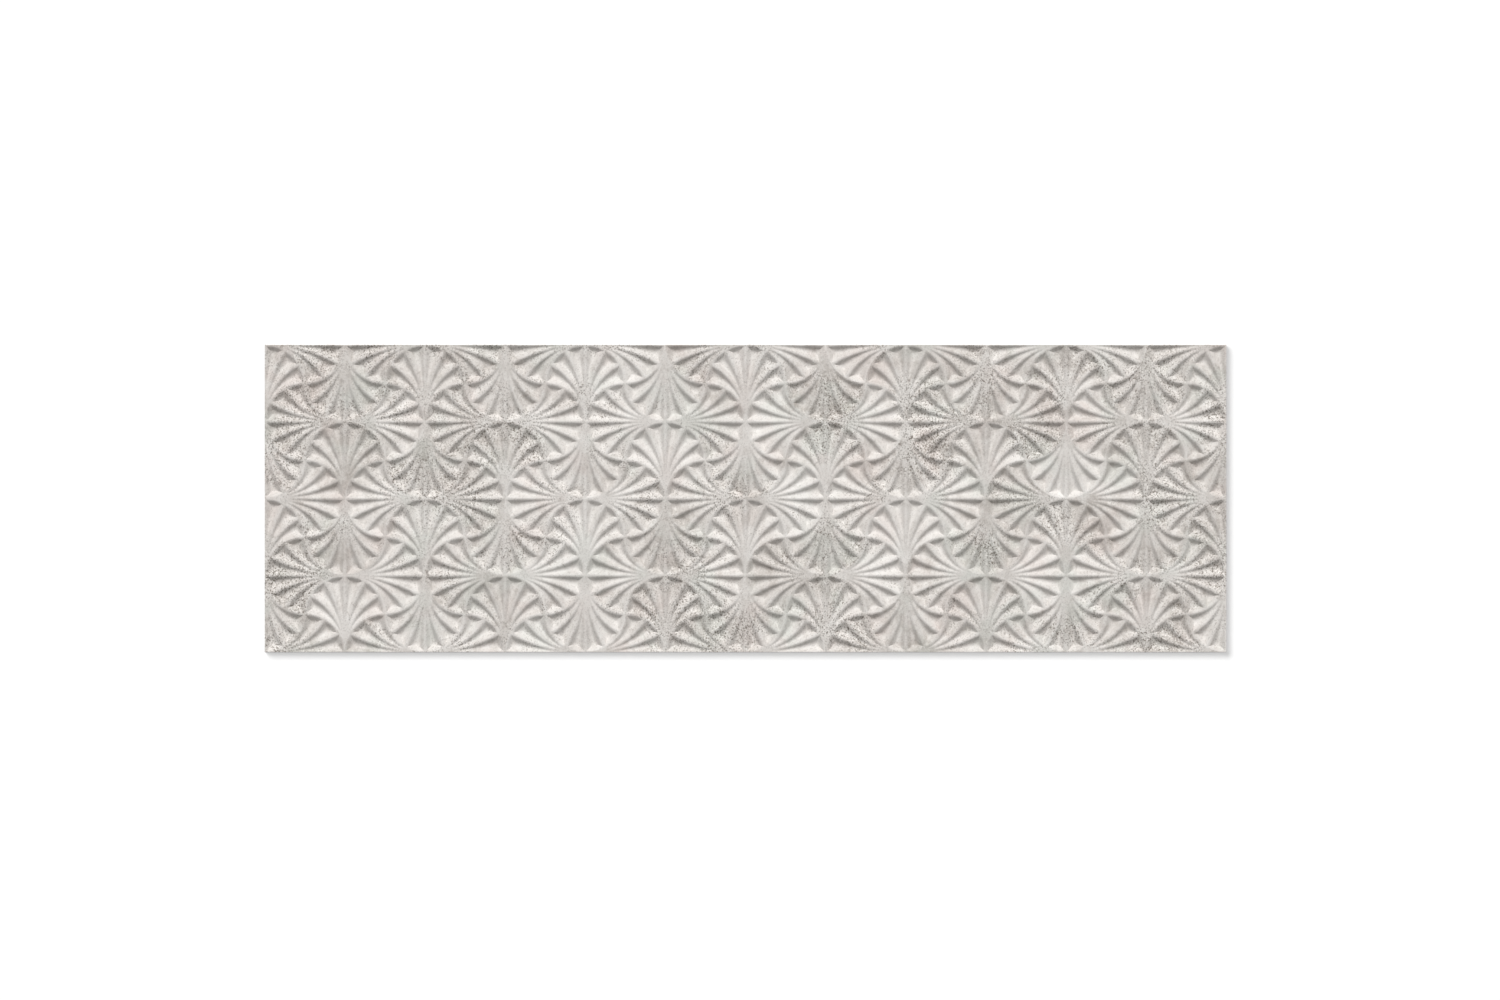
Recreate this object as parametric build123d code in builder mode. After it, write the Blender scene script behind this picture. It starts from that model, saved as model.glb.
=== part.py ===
from build123d import *
from math import atan, pi, radians, sin, sqrt, tan
import os

# Porcelain wall tile with a fluted fan relief: one piece, pressed and fired whole.
# Millimetres, +Z up. The tile lies on its back, length along X, and the middle of
# its back is the origin.

# The blank, measured over the arrises of the relief
tile_length = 1000.0
tile_width = 320.0
tile_thickness = 12.0
edge_chamfer = 0.5

# The relief: a grid of cells, with one fan standing on every side of every cell
cells_along = 12
cells_across = 4
flutes_in_fan = 6
arris_width = 2.4
flute_wall_angle = 42.0
flute_floor_share = 0.24
flute_spans = 3

# The keyed back: shallow pockets between flat bearing lands
pockets_along = 14
pockets_across = 4
pocket_depth = 0.8
bearing_land = 5.0
bearing_border = 12.0

cell_length = tile_length / cells_along
cell_width = tile_width / cells_across
flute_angle = 180.0 / flutes_in_fan
wall_slope = tan(radians(flute_wall_angle))
half_arris = arris_width / 2

# Share of a fan's radius taken by the end wall of a flute, where the end wall and the
# two side walls run out at one slope
end_wall_share = sin(radians(flute_angle / 2)) / (1 + sin(radians(flute_angle / 2)))


def half_angle_slope(angle):
    """Tangent of half a rib's angle: every rib of a fan keeps one such value."""
    return tan(radians(angle) / 2)


def rib_point(reach, spread, angle, share):
    """Point on the rib that meets the rim at an angle, share 0 at the cusp and 1 at the rim.

    A fan lies along X with its rim to the left. Its ribs are arcs that leave the cusp
    along the axis and meet the rim square, so a share is a cross line square to them all.
    """
    slope = half_angle_slope(angle)
    stretch = 2 * share / (1 + (share * slope) ** 2)
    return Vector(reach * (1 - stretch), spread * stretch * share * slope, tile_thickness)


def share_inside_rim(reach, spread, angle, inset):
    """Share of the point on a rib that lies an inset in from the rim."""
    return 1 - inset * (1 + half_angle_slope(angle) ** 2) / (reach + spread)


def facet(*corners):
    """Flat face with straight sides between its corners."""
    return Face(Wire.make_polygon(corners))


def flute_depth(half_width):
    """Depth of a flute whose middle lies a half width from its ribs."""
    return wall_slope * (half_width * (1 - flute_floor_share) - half_arris)


def side_section(reach, spread, first, last, share):
    """Valley and upper corners of a flute where a cross line crosses it."""
    start = rib_point(reach, spread, first, share)
    across = rib_point(reach, spread, last, share) - start
    half_width = across.length / 2
    corner_run = across.normalized() * (half_width - half_arris)
    middle = start + across / 2
    valley = middle - Vector(0, 0, flute_depth(half_width))
    return valley, middle - corner_run, middle + corner_run


def end_floor(reach, spread, first, last):
    """Two ends of the floor's edge at the deep end of a flute, under the end wall."""
    middle_angle = (first + last) / 2
    half_width = end_wall_share * (reach + spread) / 2
    deepest_share = share_inside_rim(reach, spread, middle_angle, half_width)
    deepest = rib_point(reach, spread, middle_angle, deepest_share)
    drop = Vector(0, 0, flute_depth(half_width))
    corners = [rib_point(reach, spread, angle, 1) for angle in (first, last)]
    return [deepest + (corner - deepest) * flute_floor_share - drop for corner in corners]


def end_rim(reach, spread, first, last):
    """Upper edge of a flute's end wall: its two corners and the middle of its arc."""
    first_corner, middle, last_corner = [
        rib_point(reach, spread, angle, share_inside_rim(reach, spread, angle, half_arris))
        for angle in (first, (first + last) / 2, last)
    ]
    side_step = (last_corner - first_corner).normalized() * half_arris
    return first_corner + side_step, middle, last_corner - side_step


def flute_cut(reach, spread, first, last):
    """Solid cut out for one flute, between two ribs of a fan, with flat facets."""
    opening = 2 * spread * (half_angle_slope(last) - half_angle_slope(first))
    tip_share = sqrt(arris_width / opening)
    tip = rib_point(reach, spread, (first + last) / 2, tip_share)

    # Cross sections at even turns of the outermost rib, from the tip to the end wall
    tip_turn = 2 * atan(tip_share)
    step = (pi / 2 - tip_turn) / flute_spans
    shares = [tan((tip_turn + step * i) / 2) for i in range(1, flute_spans)]
    valleys, lefts, rights = zip(
        *[side_section(reach, spread, first, last, share) for share in shares]
    )

    # The valley widens to a floor at the end wall
    floor = end_floor(reach, spread, first, last)
    rim = end_rim(reach, spread, first, last)
    lefts, rights = [*lefts, rim[0]], [*rights, rim[-1]]
    facets = [
        facet(tip, *lefts, rim[1], *reversed(rights)),
        facet(valleys[-1], *floor),
        facet(rim[0], floor[0], rim[1]),
        facet(*floor, rim[1]),
        facet(rim[1], floor[1], rim[-1]),
    ]
    for side, floor_end in ((lefts, floor[0]), (rights, floor[1])):
        feet = [*valleys, floor_end]
        facets.append(facet(tip, feet[0], side[0]))
        for i in range(flute_spans - 1):
            facets.append(facet(side[i], feet[i], feet[i + 1]))
            facets.append(facet(side[i], feet[i + 1], side[i + 1]))
    return Solid(Shell(facets))


def fan_cuts(reach, spread):
    """The flutes of one fan."""
    edges = [-90.0 + flute_angle * i for i in range(flutes_in_fan + 1)]
    return [flute_cut(reach, spread, first, last) for first, last in zip(edges, edges[1:])]


def corner_is_even(column, row):
    """Whether fans that lie across the tile open at this grid corner."""
    return (column + row) % 2 == 0


# Fans on the cell sides that run along the tile open towards odd grid corners
fans_along = [
    Location(
        ((column + 0.5) * cell_length - tile_length / 2, row * cell_width - tile_width / 2, 0),
        (0, 0, 180 if corner_is_even(column, row) else 0),
    )
    for column in range(cells_along)
    for row in range(cells_across + 1)
]

# Fans on the cell sides that run across the tile open towards even grid corners
fans_across = [
    Location(
        (column * cell_length - tile_length / 2, (row + 0.5) * cell_width - tile_width / 2, 0),
        (0, 0, 90 if corner_is_even(column, row) else -90),
    )
    for column in range(cells_along + 1)
    for row in range(cells_across)
]

# A fan on the tile's border lies half outside it, so only its inner flutes cut the tile
cuts_along = fan_cuts(cell_length / 2, cell_width / 2)
cuts_across = fan_cuts(cell_width / 2, cell_length / 2)
flutes = [cut.moved(place) for place in fans_along for cut in cuts_along]
flutes += [cut.moved(place) for place in fans_across for cut in cuts_across]

pocket_pitch_along = (tile_length - 2 * bearing_border + bearing_land) / pockets_along
pocket_pitch_across = (tile_width - 2 * bearing_border + bearing_land) / pockets_across

with BuildPart() as tile:
    with BuildSketch():
        Rectangle(tile_length, tile_width)
    extrude(amount=tile_thickness)

    # Pockets that key the back into its bed
    with BuildSketch():
        with GridLocations(pocket_pitch_along, pocket_pitch_across, pockets_along, pockets_across):
            Rectangle(pocket_pitch_along - bearing_land, pocket_pitch_across - bearing_land)
    extrude(amount=pocket_depth, mode=Mode.SUBTRACT)

    # Soft upper edge of the face
    chamfer(tile.faces().sort_by(Axis.Z)[-1].edges(), edge_chamfer)

    # Flutes of all the fans, in one cut
    add(flutes, mode=Mode.SUBTRACT, clean=False)

tile.part.label = "tile"

os.makedirs("parts", exist_ok=True)
export_step(tile.part, "parts/tile.step", write_pcurves=False)
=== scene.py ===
"""Dresses the fan-relief tile: its fine relief, glaze, bare edges and back, stage and view.

Metres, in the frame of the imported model: the tile lies on its back, length along X,
decorated face up, with the middle of its back at the origin.
"""

import logging
import math
import random
from dataclasses import dataclass, field
from enum import Enum
from typing import Any

import bmesh
import bpy
from mathutils import Matrix, Vector

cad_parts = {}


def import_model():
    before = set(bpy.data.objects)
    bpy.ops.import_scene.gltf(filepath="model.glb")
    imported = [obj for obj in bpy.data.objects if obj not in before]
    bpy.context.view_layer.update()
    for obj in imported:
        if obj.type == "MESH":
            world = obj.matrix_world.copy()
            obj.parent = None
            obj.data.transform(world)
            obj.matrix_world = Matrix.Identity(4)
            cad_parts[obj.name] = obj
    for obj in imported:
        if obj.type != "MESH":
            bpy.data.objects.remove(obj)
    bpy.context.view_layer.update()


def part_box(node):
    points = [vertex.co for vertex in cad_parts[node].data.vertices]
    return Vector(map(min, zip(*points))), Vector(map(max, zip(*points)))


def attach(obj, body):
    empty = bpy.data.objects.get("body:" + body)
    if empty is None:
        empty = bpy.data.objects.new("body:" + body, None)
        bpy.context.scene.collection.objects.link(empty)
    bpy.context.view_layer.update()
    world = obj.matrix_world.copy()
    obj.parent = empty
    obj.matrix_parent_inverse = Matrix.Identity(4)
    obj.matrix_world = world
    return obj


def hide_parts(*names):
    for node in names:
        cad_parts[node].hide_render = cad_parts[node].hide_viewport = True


LOG = logging.getLogger("tile")

MM = 0.001
PHOTO_WIDTH = 1500.0
PORCELAIN_IOR = 1.5
RIGHT_ANGLE = 90.0
WHITE = (1.0, 1.0, 1.0, 1.0)

# Break, slope, offset and power of the sRGB curve
SRGB_BREAK = 0.04045
SRGB_SLOPE = 12.92
SRGB_OFFSET = 0.055
SRGB_POWER = 2.4

# Name of the mesh attribute that holds the printed tone of each fan, -1 dark to 1 pale
FAN_TONE = "fan_tone"

# Sockets of a colour Mix node, which share their names with hidden ones
MIX_FACTOR = 0
MIX_FIRST = 6
MIX_SECOND = 7
MIX_RESULT = 2


def linear_colour(code: str) -> tuple[float, float, float, float]:
    """Turn an sRGB hex colour into linear values.

    Args:
        code: Six hex digits after a hash sign.

    Returns:
        Linear red, green and blue, and an alpha of 1.
    """
    shares = [byte / 255 for byte in bytes.fromhex(code.lstrip("#"))]
    red, green, blue = (
        share / SRGB_SLOPE
        if share <= SRGB_BREAK
        else ((share + SRGB_OFFSET) / (1 + SRGB_OFFSET)) ** SRGB_POWER
        for share in shares
    )
    return red, green, blue, 1.0


def add_node(
    tree: bpy.types.NodeTree,
    kind: str,
    settings: dict[str, Any] | None = None,
    inputs: dict[str | int, Any] | None = None,
) -> bpy.types.Node:
    """Add a node with its settings, constants and links.

    Args:
        tree: Node tree that takes the node.
        kind: Blender's name for the kind of node.
        settings: Values for the node's own properties.
        inputs: Constants for its input sockets, or output sockets to link from.

    Returns:
        The new node.
    """
    node = tree.nodes.new(kind)
    for name, value in (settings or {}).items():
        setattr(node, name, value)
    for key, value in (inputs or {}).items():
        if isinstance(value, bpy.types.NodeSocket):
            tree.links.new(value, node.inputs[key])
        else:
            node.inputs[key].default_value = value
    return node


def new_material(name: str) -> tuple[bpy.types.Material, bpy.types.NodeTree]:
    """Make an empty node material.

    Args:
        name: Name of the material.

    Returns:
        The material and its node tree.
    """
    material = bpy.data.materials.new(name)
    material.use_nodes = True
    material.node_tree.nodes.clear()
    return material, material.node_tree


def add_copy(
    bm: bmesh.types.BMesh, mesh: bpy.types.Mesh, place: Matrix, tone: float = 0.0
) -> None:
    """Add a placed copy of a mesh.

    Args:
        bm: Mesh that takes the copy.
        mesh: The mesh to copy.
        place: Matrix that puts the copy in its place.
        tone: Printed tone of the copy.
    """
    copy = mesh.copy()
    copy.transform(place)
    tones = copy.attributes.new(FAN_TONE, "FLOAT", "FACE")
    tones.data.foreach_set("value", [tone] * len(copy.polygons))
    bm.from_mesh(copy)
    bpy.data.meshes.remove(copy)


class Surface(Enum):
    """Material slots of the tile's mesh."""

    GLAZE = 0
    BODY = 1


@dataclass(frozen=True)
class Grain:
    """One noise pattern of a finish, from the real size of its features."""

    size: float
    seed: float
    detail: float = 2.0
    roughness: float = 0.5

    def add(self, tree: bpy.types.NodeTree, place: bpy.types.NodeSocket) -> bpy.types.NodeSocket:
        """Add the noise to a tree.

        Args:
            tree: Node tree of the finish.
            place: Output socket with the place on the surface, in metres.

        Returns:
            Output socket of the noise, about 0.5 on average.
        """
        noise = add_node(
            tree,
            "ShaderNodeTexNoise",
            {"noise_dimensions": "4D"},
            {
                "Vector": place,
                "W": self.seed,
                "Scale": 1 / self.size,
                "Detail": self.detail,
                "Roughness": self.roughness,
            },
        )
        return noise.outputs["Fac"]


@dataclass(frozen=True)
class Ease:
    """Levels between which a value of a finish eases from a bottom share to a top one."""

    start: float
    end: float
    top: float = 1.0
    bottom: float = 0.0

    def add(self, tree: bpy.types.NodeTree, value: bpy.types.NodeSocket) -> bpy.types.NodeSocket:
        """Ease a value.

        Args:
            tree: Node tree of the finish.
            value: Output socket of the value.

        Returns:
            Output socket of the eased value.
        """
        eased = add_node(
            tree,
            "ShaderNodeMapRange",
            {"interpolation_type": "SMOOTHSTEP"},
            {
                "Value": value,
                "From Min": self.start,
                "From Max": self.end,
                "To Min": self.bottom,
                "To Max": self.top,
            },
        )
        return eased.outputs["Result"]


def product(
    tree: bpy.types.NodeTree, first: bpy.types.NodeSocket, second: bpy.types.NodeSocket
) -> bpy.types.NodeSocket:
    """Multiply two values of a finish.

    Args:
        tree: Node tree of the finish.
        first: Output socket of one value.
        second: Output socket of the other.

    Returns:
        Output socket of the product.
    """
    node = add_node(tree, "ShaderNodeMath", {"operation": "MULTIPLY"}, {0: first, 1: second})
    return node.outputs["Value"]


def tint(
    tree: bpy.types.NodeTree,
    under: bpy.types.NodeSocket | tuple[float, ...],
    over: str,
    share: bpy.types.NodeSocket,
) -> bpy.types.NodeSocket:
    """Lay a colour over another by a share.

    Args:
        tree: Node tree of the finish.
        under: Colour below.
        over: Hex colour laid on top.
        share: Output socket of the share, 0 to 1.

    Returns:
        Output socket of the mixed colour.
    """
    mix = add_node(
        tree,
        "ShaderNodeMix",
        {"data_type": "RGBA"},
        {MIX_FACTOR: share, MIX_FIRST: under, MIX_SECOND: linear_colour(over)},
    )
    return mix.outputs[MIX_RESULT]


@dataclass(frozen=True)
class CementGlaze:
    """Matte cement-look glaze, inkjet printed on the pressed face and fired.

    The eye gets a warm light grey, worn paler and darker at every size, with grey-brown and
    whitish patches, a tone of its own on each fan, and grit that gathers in patches. Nothing
    on it shines.
    """

    ground: str = "#CDC8C3"
    pale: str = "#DEDBD7"
    dusk: str = "#9A928A"
    rose: str = "#C4B6B0"
    sage: str = "#B6BCB4"
    dark_grit: str = "#6E675F"
    white_grit: str = "#E9E6E1"

    wear: Grain = Grain(60 * MM, 1.7, 6.0, 0.85)
    wear_pale: Ease = Ease(0.5, 0.63, 0.38)
    wear_dark: Ease = Ease(0.5, 0.37, 0.24)
    mottle: Grain = Grain(22 * MM, 17.8, 3.0, 0.9)
    mottle_pale: Ease = Ease(0.5, 0.64, 0.42)
    mottle_dark: Ease = Ease(0.5, 0.36, 0.36)
    hues: Grain = Grain(38 * MM, 13.4, 2.0, 0.5)
    rose_level: Ease = Ease(0.52, 0.68, 0.35)
    sage_level: Ease = Ease(0.48, 0.32, 0.35)
    haze: Grain = Grain(5 * MM, 31.6, 3.0, 0.6)
    haze_level: Ease = Ease(0.3, 0.65)
    blotches: Grain = Grain(70 * MM, 5.3, 4.0, 0.6)
    blotch_level: Ease = Ease(0.54, 0.70, 0.75)
    bleach: Grain = Grain(60 * MM, 9.1, 4.0, 0.6)
    bleach_level: Ease = Ease(0.54, 0.70, 0.80)
    fan_pale: Ease = Ease(-0.1, 1.0, 0.30)
    fan_dark: Ease = Ease(0.1, -1.0, 0.16)

    grit_patches: Grain = Grain(55 * MM, 21.9, 5.0, 0.66)
    grit_patch_level: Ease = Ease(0.45, 0.64, 1.0, 0.20)
    grit_on_dark_fans: float = 0.05
    # Real grit is finer: it is drawn this coarse so that it shows
    grit: Grain = Grain(1.5 * MM, 27.2, 1.5, 0.5)
    dark_grit_level: Ease = Ease(0.53, 0.64, 0.95)
    white_grit_level: Ease = Ease(0.44, 0.35, 0.7)
    grit_height: float = 0.15 * MM
    grit_strength: float = 0.25
    smooth_roughness: float = 0.56
    grit_roughness: float = 0.72
    gloss: float = 0.35

    def make(self) -> bpy.types.Material:
        """Make the glaze.

        Returns:
            The glaze as a node material.
        """
        material, tree = new_material("matte_cement_glaze")
        place = add_node(tree, "ShaderNodeTexCoord").outputs["Object"]
        tone = add_node(tree, "ShaderNodeAttribute", {"attribute_name": FAN_TONE}).outputs["Fac"]
        grit = self.grit.add(tree, place)
        patches = self.patches(tree, place, tone)

        colour = self.ground_colour(tree, place, tone)
        dark = product(tree, self.dark_grit_level.add(tree, grit), patches)
        white = product(tree, self.white_grit_level.add(tree, grit), patches)
        colour = tint(tree, colour, self.dark_grit, dark)
        colour = tint(tree, colour, self.white_grit, white)

        bump = add_node(
            tree,
            "ShaderNodeBump",
            None,
            {"Strength": self.grit_strength, "Distance": self.grit_height, "Height": grit},
        )
        roughness = add_node(
            tree,
            "ShaderNodeMapRange",
            None,
            {"Value": patches, "To Min": self.smooth_roughness, "To Max": self.grit_roughness},
        )
        shader = add_node(
            tree,
            "ShaderNodeBsdfPrincipled",
            None,
            {
                "Base Color": colour,
                "Roughness": roughness.outputs["Result"],
                "IOR": PORCELAIN_IOR,
                "Specular IOR Level": self.gloss,
                "Normal": bump.outputs["Normal"],
            },
        )
        add_node(tree, "ShaderNodeOutputMaterial", None, {"Surface": shader.outputs["BSDF"]})
        return material

    def patches(
        self,
        tree: bpy.types.NodeTree,
        place: bpy.types.NodeSocket,
        tone: bpy.types.NodeSocket,
    ) -> bpy.types.NodeSocket:
        """Find how thick the grit lies, which is thicker on dark fans.

        Args:
            tree: Node tree of the glaze.
            place: Output socket with the place on the surface.
            tone: Output socket with the fan's tone.

        Returns:
            Output socket of the share of grit.
        """
        level = add_node(
            tree,
            "ShaderNodeMath",
            {"operation": "MULTIPLY_ADD"},
            {0: tone, 1: -self.grit_on_dark_fans, 2: self.grit_patches.add(tree, place)},
        )
        return self.grit_patch_level.add(tree, level.outputs["Value"])

    def ground_colour(
        self,
        tree: bpy.types.NodeTree,
        place: bpy.types.NodeSocket,
        tone: bpy.types.NodeSocket,
    ) -> bpy.types.NodeSocket:
        """Lay the print below the grit.

        Args:
            tree: Node tree of the glaze.
            place: Output socket with the place on the surface.
            tone: Output socket with the fan's tone.

        Returns:
            Output socket of the colour.
        """
        wear = self.wear.add(tree, place)
        mottle = self.mottle.add(tree, place)
        hues = self.hues.add(tree, place)
        haze = self.haze_level.add(tree, self.haze.add(tree, place))
        blotches = self.blotch_level.add(tree, self.blotches.add(tree, place))
        bleach = self.bleach_level.add(tree, self.bleach.add(tree, place))
        layers = (
            (self.pale, self.wear_pale.add(tree, wear)),
            (self.dusk, self.wear_dark.add(tree, wear)),
            (self.pale, self.mottle_pale.add(tree, mottle)),
            (self.dusk, self.mottle_dark.add(tree, mottle)),
            (self.rose, self.rose_level.add(tree, hues)),
            (self.sage, self.sage_level.add(tree, hues)),
            (self.dusk, product(tree, blotches, haze)),
            (self.pale, product(tree, bleach, haze)),
            (self.pale, self.fan_pale.add(tree, tone)),
            (self.dusk, self.fan_dark.add(tree, tone)),
        )
        colour = linear_colour(self.ground)
        for over, share in layers:
            colour = tint(tree, colour, over, share)
        return colour


@dataclass(frozen=True)
class FiredBody:
    """Bare fired porcelain of the edges and the back: dense, pale and dull, with fine pores."""

    paste: str = "#D2CCC2"
    flecks: str = "#B3ACA1"
    mottle: Grain = Grain(14 * MM, 3.3, 3.0, 0.6)
    mottle_level: Ease = Ease(0.45, 0.70, 0.35)
    pores: Grain = Grain(1.2 * MM, 8.8, 2.0, 0.6)
    pore_level: Ease = Ease(0.58, 0.70, 0.60)
    pore_depth: float = 0.2 * MM
    pore_strength: float = 0.35
    roughness: float = 0.8

    def make(self) -> bpy.types.Material:
        """Make the bare body.

        Returns:
            The body as a node material.
        """
        material, tree = new_material("fired_porcelain_body")
        place = add_node(tree, "ShaderNodeTexCoord").outputs["Object"]
        pores = self.pores.add(tree, place)
        mottle = self.mottle_level.add(tree, self.mottle.add(tree, place))
        colour = tint(tree, linear_colour(self.paste), self.flecks, mottle)
        colour = tint(tree, colour, self.flecks, self.pore_level.add(tree, pores))
        bump = add_node(
            tree,
            "ShaderNodeBump",
            None,
            {"Strength": self.pore_strength, "Distance": self.pore_depth, "Height": pores},
        )
        shader = add_node(
            tree,
            "ShaderNodeBsdfPrincipled",
            None,
            {
                "Base Color": colour,
                "Roughness": self.roughness,
                "IOR": PORCELAIN_IOR,
                "Normal": bump.outputs["Normal"],
            },
        )
        add_node(tree, "ShaderNodeOutputMaterial", None, {"Surface": shader.outputs["BSDF"]})
        return material


@dataclass(frozen=True)
class FluteSection:
    """Cross section of a flute: a round arris, a straight wall and a round valley.

    Where a flute is narrow, a step between two points of the arris is no more than the narrow
    step, a share of the half width. Towards the cusp the flute fades, from the half width at
    which it has its full depth to the one at which it has none.
    """

    half_arris: float = 1.2 * MM
    arris_round: float = 1.0 * MM
    wall_slope: float = math.tan(math.radians(42.0))
    valley_share: float = 0.48
    valley_steps: int = 3
    narrow_step: float = 1 / 6
    fade_start: float = 1.2 * MM
    fade_end: float = 3.2 * MM

    def distances(self, half_width: float) -> list[float]:
        """Distances from a rib at which the section has points.

        Args:
            half_width: Distance from the rib to the valley.

        Returns:
            Distances from 0 at the rib to the valley, always as many.
        """
        spread = self.arris_round
        arris = [0.0, self.half_arris - spread, self.half_arris, self.half_arris + spread]
        even = [min(step, half_width * self.narrow_step * i) for i, step in enumerate(arris)]
        steps = range(self.valley_steps, -1, -1)
        wall = [1 - self.valley_share * i / self.valley_steps for i in steps]
        return even + [half_width * share for share in wall]

    def depth(self, distance: float, half_width: float) -> float:
        """Depth of the flute below the arrises.

        Args:
            distance: Distance from the rib.
            half_width: Distance from the rib to the valley.

        Returns:
            Depth at that distance.
        """
        wall_depth, _ = self.wall(distance)
        valley_run = self.valley_share * half_width
        past = max(0.0, valley_run - (half_width - distance))
        _, valley_slope = self.wall(half_width)
        depth = max(0.0, wall_depth - valley_slope * past ** 2 / (2 * valley_run))
        return depth * self.fade(half_width)

    def fade(self, half_width: float) -> float:
        """Share of its full depth that a flute has, which eases to nothing towards the cusp.

        Args:
            half_width: Distance from the rib to the valley.

        Returns:
            The share, 0 to 1.
        """
        share = (half_width - self.fade_start) / (self.fade_end - self.fade_start)
        share = min(max(share, 0.0), 1.0)
        return share ** 2 * (3 - 2 * share)

    def wall(self, distance: float) -> tuple[float, float]:
        """Depth and slope of the wall before the valley rounds it.

        Args:
            distance: Distance from the rib.

        Returns:
            Depth and slope at that distance.
        """
        past = distance - self.half_arris
        if past <= -self.arris_round:
            return 0.0, 0.0
        if past >= self.arris_round:
            return self.wall_slope * past, self.wall_slope
        run = past + self.arris_round
        share = run / (2 * self.arris_round)
        return self.wall_slope * run * share / 2, self.wall_slope * share


@dataclass(frozen=True)
class Spoke:
    """One line of a flute's mesh, from a rib or the rim in to the valley."""

    foot: Vector
    valley: Vector
    half_width: float


@dataclass(frozen=True)
class Flute:
    """One flute of a fan, between two ribs, in the fan's own frame.

    The fan lies along X with its rim to the left and its cusp to the right. Its ribs are
    arcs that leave the cusp along the axis and meet the rim square.
    """

    reach: float
    spread: float
    first: float
    last: float
    side_steps: int
    rim_steps: int
    weld: float = 0.0005 * MM

    def point(self, angle: float, turn: float) -> Vector:
        """Point on a rib.

        Args:
            angle: Angle at which the rib meets the rim, in degrees.
            turn: Turn of the outermost rib on the same cross line, from 0 at the cusp to a right
                angle at the rim, in degrees.

        Returns:
            The point, in plan.
        """
        slope = math.tan(math.radians(angle) / 2)
        share = math.tan(math.radians(turn) / 2)
        stretch = 2 * share / (1 + (share * slope) ** 2)
        return Vector((self.reach * (1 - stretch), self.spread * stretch * share * slope, 0.0))

    def middle_angle(self) -> float:
        """Angle of the flute's valley."""
        return (self.first + self.last) / 2

    def deepest(self) -> Vector:
        """Point where the end wall and both side walls meet, in plan."""
        slope = math.tan(math.radians(self.middle_angle()) / 2)
        share = 1 - self.end_share() * (1 + slope ** 2) / 2
        return self.point(self.middle_angle(), 2 * math.degrees(math.atan(share)))

    def spokes(self) -> list[Spoke]:
        """Lines of the flute's mesh, in order round its outline from the cusp."""
        cusp = self.point(self.first, 0.0)
        up, down = self.side_spokes(self.first), self.side_spokes(self.last)
        return [Spoke(cusp, cusp, 0.0), *up, *self.rim_spokes(), *reversed(down)]

    def side_spokes(self, angle: float) -> list[Spoke]:
        """Lines of the wall along one rib.

        Args:
            angle: Angle at which the rib meets the rim, in degrees.

        Returns:
            The lines, from the cusp to the corner at the rim.
        """
        spokes = []
        for i in range(1, self.side_steps + 1):
            turn = RIGHT_ANGLE * i / self.side_steps
            foot = self.point(angle, turn)
            if i < self.side_steps - 1:
                width = (self.point(self.last, turn) - self.point(self.first, turn)).length
                spokes.append(Spoke(foot, self.point(self.middle_angle(), turn), width / 2))
            else:
                spokes.append(Spoke(foot, self.deepest(), self.end_width()))
        return spokes

    def end_share(self) -> float:
        """Share of the fan's radius taken by the end wall, at the side walls' slope."""
        half = math.sin(math.radians(self.last - self.first) / 2)
        return half / (1 + half)

    def end_width(self) -> float:
        """Distance from the ribs and the rim to the deepest point."""
        return self.end_share() * (self.reach + self.spread) / 2

    def rim_spokes(self) -> list[Spoke]:
        """Lines of the end wall, between the flute's two corners at the rim."""
        step = (self.last - self.first) / self.rim_steps
        angles = [self.first + step * i for i in range(1, self.rim_steps)]
        return [Spoke(self.point(angle, RIGHT_ANGLE), self.deepest(), self.end_width()) for angle in angles]

    def build(self, section: FluteSection, level: float) -> bpy.types.Mesh:
        """Model the flute as rings that step in from its outline to its valley.

        Args:
            section: Cross section of the flute.
            level: Height of the arrises.

        Returns:
            A mesh of the flute with its half of the arrises round it.
        """
        spokes = self.spokes()
        bm = bmesh.new()
        number = bm.verts.layers.int.new("spoke")
        outline = bmesh.ops.create_circle(bm, segments=len(spokes), radius=self.reach)["verts"]
        for i, vert in enumerate(outline):
            vert[number] = i
        ring_edges = list(bm.edges)
        ring = outline
        for i in range(len(section.distances(1.0))):
            if i:
                made = bmesh.ops.extrude_edge_only(bm, edges=ring_edges)["geom"]
                ring = [item for item in made if isinstance(item, bmesh.types.BMVert)]
                fresh = set(ring)
                ring_edges = [edge for edge in bm.edges if fresh.issuperset(edge.verts)]
            for vert in ring:
                spoke = spokes[vert[number]]
                self.place(vert, spoke, section, i, level)
        bmesh.ops.remove_doubles(bm, verts=bm.verts, dist=self.weld)
        mesh = bpy.data.meshes.new("flute")
        bm.to_mesh(mesh)
        bm.free()
        return mesh

    @staticmethod
    def place(
        vert: bmesh.types.BMVert, spoke: Spoke, section: FluteSection, ring: int, level: float
    ) -> None:
        """Put a vertex on its spoke.

        Args:
            vert: The vertex.
            spoke: Its spoke.
            section: Cross section of the flute.
            ring: Its ring, 0 at the outline.
            level: Height of the arrises.
        """
        distance = section.distances(spoke.half_width)[ring]
        share = distance / spoke.half_width if spoke.half_width else 0.0
        vert.co = spoke.foot.lerp(spoke.valley, share)
        vert.co.z = level
        if spoke.half_width:
            vert.co.z -= section.depth(distance, spoke.half_width)


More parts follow.
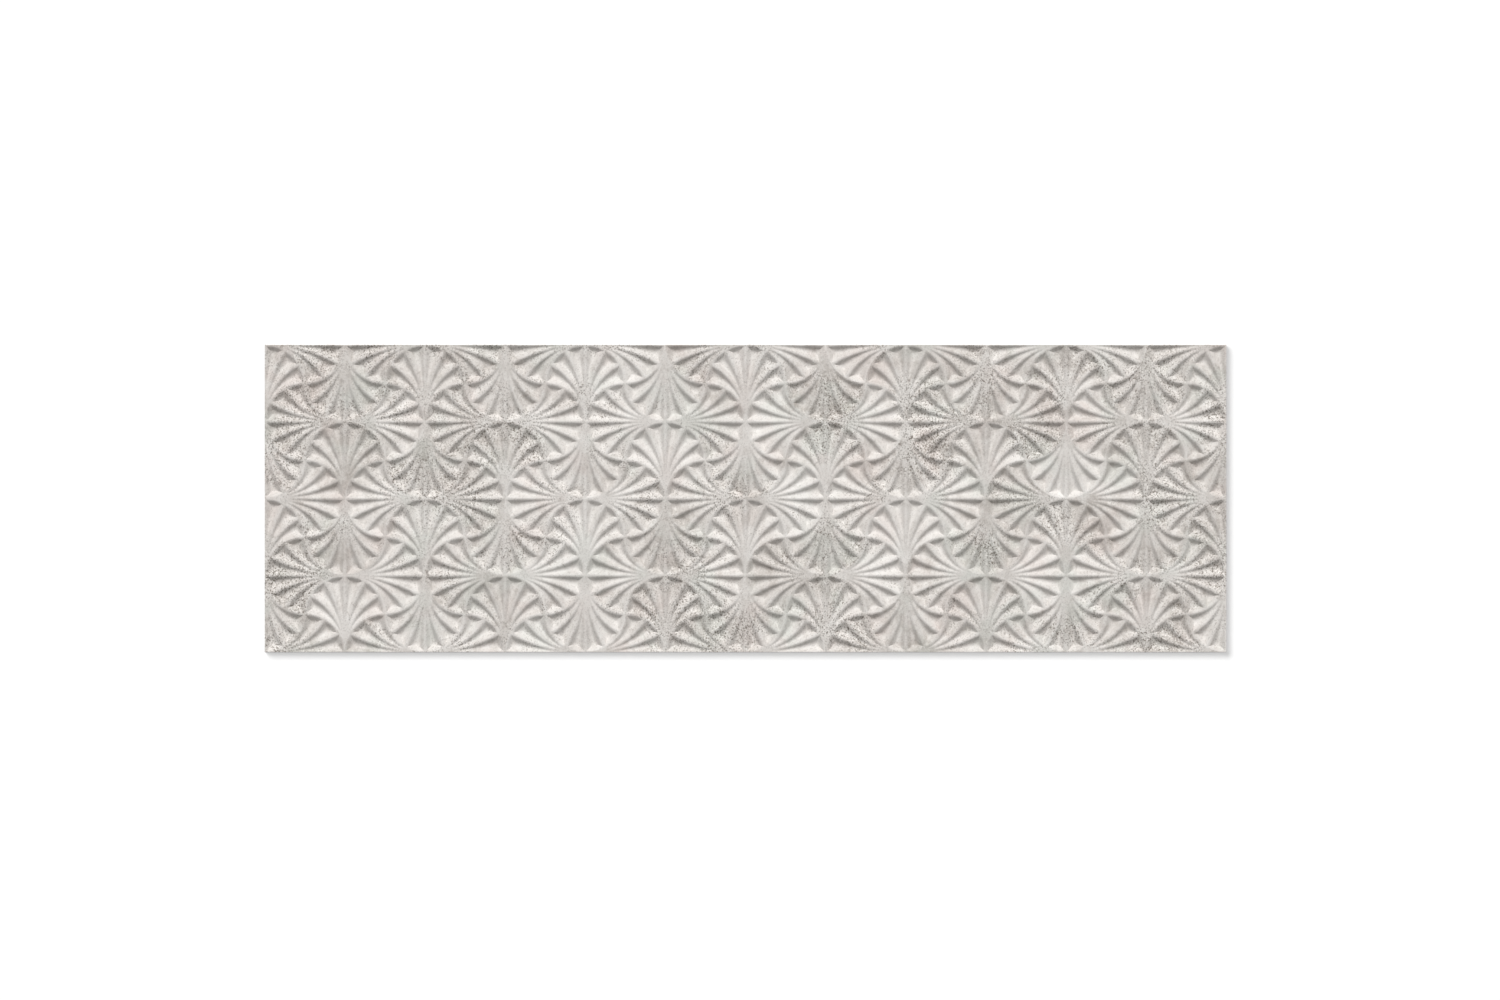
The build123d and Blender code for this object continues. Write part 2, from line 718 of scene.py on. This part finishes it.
@dataclass
class TileBody:
    """The whole tile: fluted face, soft edges and keyed back, in one closed mesh."""

    low: Vector
    high: Vector
    section: FluteSection = field(default_factory=FluteSection)
    cells_along: int = 12
    cells_across: int = 4
    flutes_in_fan: int = 6
    side_steps: int = 9
    edge_round: float = 0.5 * MM
    edge_steps: int = 3
    sharp_angle: float = 40.0
    glaze_lap: float = 1.4 * MM
    foot_round: float = 0.4 * MM
    pockets_along: int = 14
    pockets_across: int = 4
    pocket_depth: float = 0.8 * MM
    pocket_draft: float = 0.6 * MM
    bearing_land: float = 5.0 * MM
    bearing_border: float = 12.0 * MM
    weld: float = 0.03 * MM
    sliver: float = 0.02 * MM
    snap: float = 0.05 * MM
    tone_seed: int = 4

    def half_size(self) -> Vector:
        """Half the tile's length and width."""
        return (self.high - self.low) / 2

    def cell(self) -> Vector:
        """Length and width of one cell of the relief."""
        size = self.high - self.low
        return Vector((size.x / self.cells_along, size.y / self.cells_across, 0.0))

    def make(self, glaze: bpy.types.Material, body: bpy.types.Material) -> bpy.types.Object:
        """Model and dress the tile.

        Args:
            glaze: Finish of the face.
            body: Finish of the edges and the back.

        Returns:
            The tile.
        """
        bm = bmesh.new()
        self.add_face(bm)
        self.add_sides(bm)
        self.add_back(bm)
        bmesh.ops.recalc_face_normals(bm, faces=bm.faces)
        for face in bm.faces:
            face.smooth = True
        for edge in bm.edges:
            edge.smooth = edge.calc_face_angle(math.pi) < math.radians(self.sharp_angle)
        mesh = bpy.data.meshes.new("fan_tile")
        bm.to_mesh(mesh)
        bm.free()
        finishes = {Surface.GLAZE: glaze, Surface.BODY: body}
        for surface in Surface:
            mesh.materials.append(finishes[surface])
        tile = bpy.data.objects.new("fan_tile", mesh)
        bpy.context.scene.collection.objects.link(tile)
        return tile

    def fan_flutes(self, reach: float, spread: float) -> list[Flute]:
        """Flutes of one fan.

        Args:
            reach: Half the fan's length.
            spread: Half its width.

        Returns:
            The flutes, from the lowest to the highest.
        """
        angle = 2 * RIGHT_ANGLE / self.flutes_in_fan
        rim_steps = round(self.side_steps * angle / RIGHT_ANGLE)
        ribs = [angle * i - RIGHT_ANGLE for i in range(self.flutes_in_fan + 1)]
        return [
            Flute(reach, spread, first, last, self.side_steps, rim_steps)
            for first, last in zip(ribs, ribs[1:])
        ]

    def fan_places(self, along: bool) -> list[Matrix]:
        """Places of the fans on the cell sides that run one way.

        Args:
            along: Whether these cell sides run along the tile.

        Returns:
            A matrix for each fan. Fans along the tile open towards odd grid corners, and
            fans across it towards even ones.
        """
        cell, half = self.cell(), self.half_size()
        places = []
        for column in range(self.cells_along + (not along)):
            for row in range(self.cells_across + along):
                even = (column + row) % 2 == 0
                turn = RIGHT_ANGLE if even else -RIGHT_ANGLE
                if along:
                    turn += RIGHT_ANGLE
                x = (column + 0.5 * along) * cell.x - half.x
                y = (row + 0.5 * (not along)) * cell.y - half.y
                spot = Matrix.Translation((x, y, 0.0))
                places.append(spot @ Matrix.Rotation(math.radians(turn), 4, "Z"))
        return places

    def add_face(self, bm: bmesh.types.BMesh) -> None:
        """Add the fluted face, with its outline drawn in by the edge's rounding.

        Args:
            bm: Mesh that takes it.
        """
        half_cell, half = self.cell() / 2, self.half_size()
        draws = random.Random(self.tone_seed)
        kinds = ((True, half_cell.x, half_cell.y), (False, half_cell.y, half_cell.x))
        for along, reach, spread in kinds:
            fans = [(place, draws.uniform(-1.0, 1.0)) for place in self.fan_places(along)]
            for flute in self.fan_flutes(reach, spread):
                mesh = flute.build(self.section, self.high.z)
                for place, tone in fans:
                    spot = place @ flute.deepest()
                    if abs(spot.x) < half.x and abs(spot.y) < half.y:
                        add_copy(bm, mesh, place, tone)
                bpy.data.meshes.remove(mesh)
        limit = half - Vector((self.edge_round, self.edge_round, 0.0))
        for vert in bm.verts:
            vert.co.x = min(max(vert.co.x, -limit.x), limit.x)
            vert.co.y = min(max(vert.co.y, -limit.y), limit.y)
        bmesh.ops.remove_doubles(bm, verts=bm.verts, dist=self.weld)
        bmesh.ops.dissolve_degenerate(bm, edges=bm.edges, dist=self.sliver)

    def add_sides(self, bm: bmesh.types.BMesh) -> None:
        """Round the edge of the face over and drop the sides to the foot.

        Args:
            bm: Mesh that holds the face.
        """
        rim = [edge for edge in bm.edges if edge.is_boundary]
        inset = self.edge_round
        for i in range(1, self.edge_steps + 1):
            turn = math.pi / 2 * i / self.edge_steps
            out = self.edge_round * math.sin(turn)
            drop = self.edge_round * (1 - math.cos(turn))
            rim = self.step_down(bm, rim, inset, self.edge_round - out, self.high.z - drop)
            inset = self.edge_round - out
        rim = self.step_down(bm, rim, 0.0, 0.0, self.high.z - self.glaze_lap)
        glazed = set(bm.faces)
        rim = self.step_down(bm, rim, 0.0, 0.0, self.low.z + self.foot_round)
        self.step_down(bm, rim, 0.0, self.foot_round, self.low.z)
        for face in bm.faces:
            if face not in glazed:
                face.material_index = Surface.BODY.value

    def step_down(
        self,
        bm: bmesh.types.BMesh,
        rim: list[bmesh.types.BMEdge],
        inset: float,
        new_inset: float,
        level: float,
    ) -> list[bmesh.types.BMEdge]:
        """Extrude the open rim of the sides to another inset and level.

        Args:
            bm: Mesh that holds the rim.
            rim: Edges of the rim.
            inset: How far the rim lies in from the tile's outline.
            new_inset: How far the new rim lies in from it.
            level: Height of the new rim.

        Returns:
            Edges of the new rim.
        """
        half = self.half_size()
        made = bmesh.ops.extrude_edge_only(bm, edges=rim)["geom"]
        fresh = {item for item in made if isinstance(item, bmesh.types.BMVert)}
        for vert in fresh:
            for axis in range(2):
                if abs(vert.co[axis]) > half[axis] - inset - self.snap:
                    vert.co[axis] = math.copysign(half[axis] - new_inset, vert.co[axis])
            vert.co.z = level
        return [edge for edge in bm.edges if fresh.issuperset(edge.verts)]

    def add_back(self, bm: bmesh.types.BMesh) -> None:
        """Close the back with drafted keying pockets between flat lands.

        Args:
            bm: Mesh that holds the face and the sides.
        """
        size = self.high - self.low
        pitch = Vector((
            (size.x - 2 * self.bearing_border + self.bearing_land) / self.pockets_along,
            (size.y - 2 * self.bearing_border + self.bearing_land) / self.pockets_across,
            0.0,
        ))
        pocket = self.pocket_mesh(pitch - Vector((self.bearing_land, self.bearing_land, 0.0)))
        known = set(bm.faces)
        for column in range(self.pockets_along):
            for row in range(self.pockets_across):
                x = (column - (self.pockets_along - 1) / 2) * pitch.x
                y = (row - (self.pockets_across - 1) / 2) * pitch.y
                add_copy(bm, pocket, Matrix.Translation((x, y, self.low.z)))
        bpy.data.meshes.remove(pocket)
        open_edges = [edge for edge in bm.edges if edge.is_boundary]
        bmesh.ops.triangle_fill(bm, use_beauty=True, edges=open_edges)
        for face in bm.faces:
            if face not in known:
                face.material_index = Surface.BODY.value

    def pocket_mesh(self, mouth: Vector) -> bpy.types.Mesh:
        """Model one keying pocket, open at the back.

        Args:
            mouth: Length and width of its mouth.

        Returns:
            A mesh of the pocket, round the middle of its mouth.
        """
        floor = mouth - 2 * Vector((self.pocket_draft, self.pocket_draft, 0.0))
        bm = bmesh.new()
        bmesh.ops.create_grid(bm, x_segments=1, y_segments=1, size=0.5)
        bmesh.ops.scale(bm, vec=(floor.x, floor.y, 1.0), verts=bm.verts)
        bmesh.ops.translate(bm, vec=(0.0, 0.0, self.pocket_depth), verts=bm.verts)
        made = bmesh.ops.extrude_edge_only(bm, edges=bm.edges)["geom"]
        rim = [item for item in made if isinstance(item, bmesh.types.BMVert)]
        bmesh.ops.scale(bm, vec=(mouth.x / floor.x, mouth.y / floor.y, 0.0), verts=rim)
        mesh = bpy.data.meshes.new("pocket")
        bm.to_mesh(mesh)
        bm.free()
        return mesh


@dataclass(frozen=True)
class Studio:
    """Plain white floor, a key light from the top of the picture, and even fill.

    The key lights the tile alone. A soft light of the floor's own gives the tile's shadow.
    """

    key_strength: float = 4.0
    key_elevation: float = 52.0
    key_azimuth: float = 0.0
    key_softness: float = 6.0
    floor_strength: float = 3.7
    floor_elevation: float = 55.0
    floor_azimuth: float = 45.0
    floor_softness: float = 34.0
    fill: float = 0.015
    floor_size: float = 12.0
    floor_glow: float = 0.56
    floor_shade: float = 0.5
    floor_bounce: float = 0.8

    def make(self, tile: bpy.types.Object) -> None:
        """Add the floor, the lights and the fill.

        Args:
            tile: The tile on the floor.
        """
        floor = self.add_floor()
        key = self.add_sun("key_light", self.key_strength, self.key_softness)
        self.aim(key, self.key_elevation, self.key_azimuth, tile)
        floor_light = self.add_sun("floor_light", self.floor_strength, self.floor_softness)
        self.aim(floor_light, self.floor_elevation, self.floor_azimuth, floor)
        self.add_fill()

    def add_floor(self) -> bpy.types.Object:
        """Add the white floor.

        Returns:
            The floor.
        """
        bm = bmesh.new()
        bmesh.ops.create_grid(bm, x_segments=1, y_segments=1, size=self.floor_size / 2)
        mesh = bpy.data.meshes.new("floor")
        bm.to_mesh(mesh)
        bm.free()
        floor = bpy.data.objects.new("floor", mesh)
        bpy.context.scene.collection.objects.link(floor)
        mesh.materials.append(self.floor_material())
        return floor

    def floor_material(self) -> bpy.types.Material:
        """Make white studio paper, which reads as full white and still takes the tile's shadow.

        Returns:
            The floor's material.
        """
        material, tree = new_material("white_studio_paper")
        seen = self.seen(tree)
        plain, bounce = (
            add_node(tree, "ShaderNodeBsdfDiffuse", None, {"Color": (shade, shade, shade, 1.0)})
            for shade in (self.floor_shade, self.floor_bounce)
        )
        glow = add_node(
            tree,
            "ShaderNodeEmission",
            None,
            {"Color": WHITE, "Strength": self.floor_glow},
        )
        white = add_node(
            tree, "ShaderNodeAddShader", None, {0: plain.outputs["BSDF"], 1: glow.outputs["Emission"]}
        )
        mixed = add_node(
            tree,
            "ShaderNodeMixShader",
            None,
            {0: seen, 1: bounce.outputs["BSDF"], 2: white.outputs["Shader"]},
        )
        add_node(tree, "ShaderNodeOutputMaterial", None, {"Surface": mixed.outputs["Shader"]})
        return material

    @staticmethod
    def seen(tree: bpy.types.NodeTree) -> bpy.types.NodeSocket:
        """Add the share that is 1 for rays that show the stage itself.

        Args:
            tree: Node tree of the stage.

        Returns:
            Output socket of the share.
        """
        path = add_node(tree, "ShaderNodeLightPath")
        total = path.outputs["Is Camera Ray"]
        for name in ("Is Glossy Ray", "Is Transmission Ray"):
            node = add_node(
                tree, "ShaderNodeMath", {"operation": "MAXIMUM"}, {0: total, 1: path.outputs[name]}
            )
            total = node.outputs["Value"]
        return total

    @staticmethod
    def add_sun(name: str, strength: float, softness: float) -> bpy.types.Object:
        """Add a distant light.

        Args:
            name: Name of the light.
            strength: Its strength.
            softness: Angle that it fills as seen from the tile, in degrees.

        Returns:
            The light.
        """
        lamp = bpy.data.lights.new(name, "SUN")
        lamp.energy = strength
        lamp.angle = math.radians(softness)
        light = bpy.data.objects.new(name, lamp)
        bpy.context.scene.collection.objects.link(light)
        return light

    @staticmethod
    def aim(
        light: bpy.types.Object, elevation: float, azimuth: float, receiver: bpy.types.Object
    ) -> None:
        """Turn a light and let it light one object alone.

        Args:
            light: The light.
            elevation: Its height above the floor, in degrees.
            azimuth: Its turn from the top of the picture towards the left, in degrees.
            receiver: The object that it lights.
        """
        tilt = math.radians(elevation - RIGHT_ANGLE)
        light.rotation_euler = (tilt, 0.0, math.radians(azimuth))
        lit = bpy.data.collections.new(f"{light.name}_lights")
        lit.objects.link(receiver)
        light.light_linking.receiver_collection = lit

    def add_fill(self) -> None:
        """Light the scene evenly, and show white past the floor."""
        world = bpy.data.worlds.new("studio")
        world.use_nodes = True
        tree = world.node_tree
        tree.nodes.clear()
        strength = add_node(
            tree,
            "ShaderNodeMapRange",
            None,
            {"Value": self.seen(tree), "To Min": self.fill, "To Max": 1.0},
        )
        background = add_node(
            tree,
            "ShaderNodeBackground",
            None,
            {"Color": WHITE, "Strength": strength.outputs["Result"]},
        )
        add_node(tree, "ShaderNodeOutputWorld", None, {"Surface": background.outputs["Background"]})
        bpy.context.scene.world = world


@dataclass(frozen=True)
class CopyCamera:
    """Camera that looks straight down on the tile, as the photograph does."""

    lens: float = 200.0
    sensor: float = 36.0
    tile_pixels: float = 961.8
    centre_right_of_tile: float = 4.5
    centre_below_tile: float = 1.5
    clip_depths: float = 10.0

    def make(self, tile_length: float, level: float) -> None:
        """Add the camera.

        Args:
            tile_length: Length of the tile.
            level: Height of its face.
        """
        pixel = tile_length / self.tile_pixels
        distance = PHOTO_WIDTH * pixel * self.lens / self.sensor
        lens = bpy.data.cameras.new("copy_camera")
        lens.lens = self.lens
        lens.sensor_width = self.sensor
        lens.clip_end = self.clip_depths * distance
        camera = bpy.data.objects.new("copy_camera", lens)
        camera.location = (
            self.centre_right_of_tile * pixel,
            -self.centre_below_tile * pixel,
            level + distance,
        )
        bpy.context.scene.collection.objects.link(camera)
        bpy.context.scene.camera = camera


def main() -> None:
    """Build the tile on its frame, dress it and set the stage."""
    logging.basicConfig(level=logging.INFO, format="%(name)s: %(message)s")
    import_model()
    bpy.context.scene.view_settings.view_transform = "Standard"

    low, high = (Vector(corner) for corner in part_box("tile"))
    glaze = CementGlaze().make()
    tile = TileBody(low, high).make(glaze, FiredBody().make())
    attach(tile, "root")
    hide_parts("tile")
    LOG.info("tile has %d faces", len(tile.data.polygons))

    Studio().make(tile)
    CopyCamera().make(high.x - low.x, high.z)
    LOG.info("stage and camera are set")


if __name__ == "__main__":
    main()
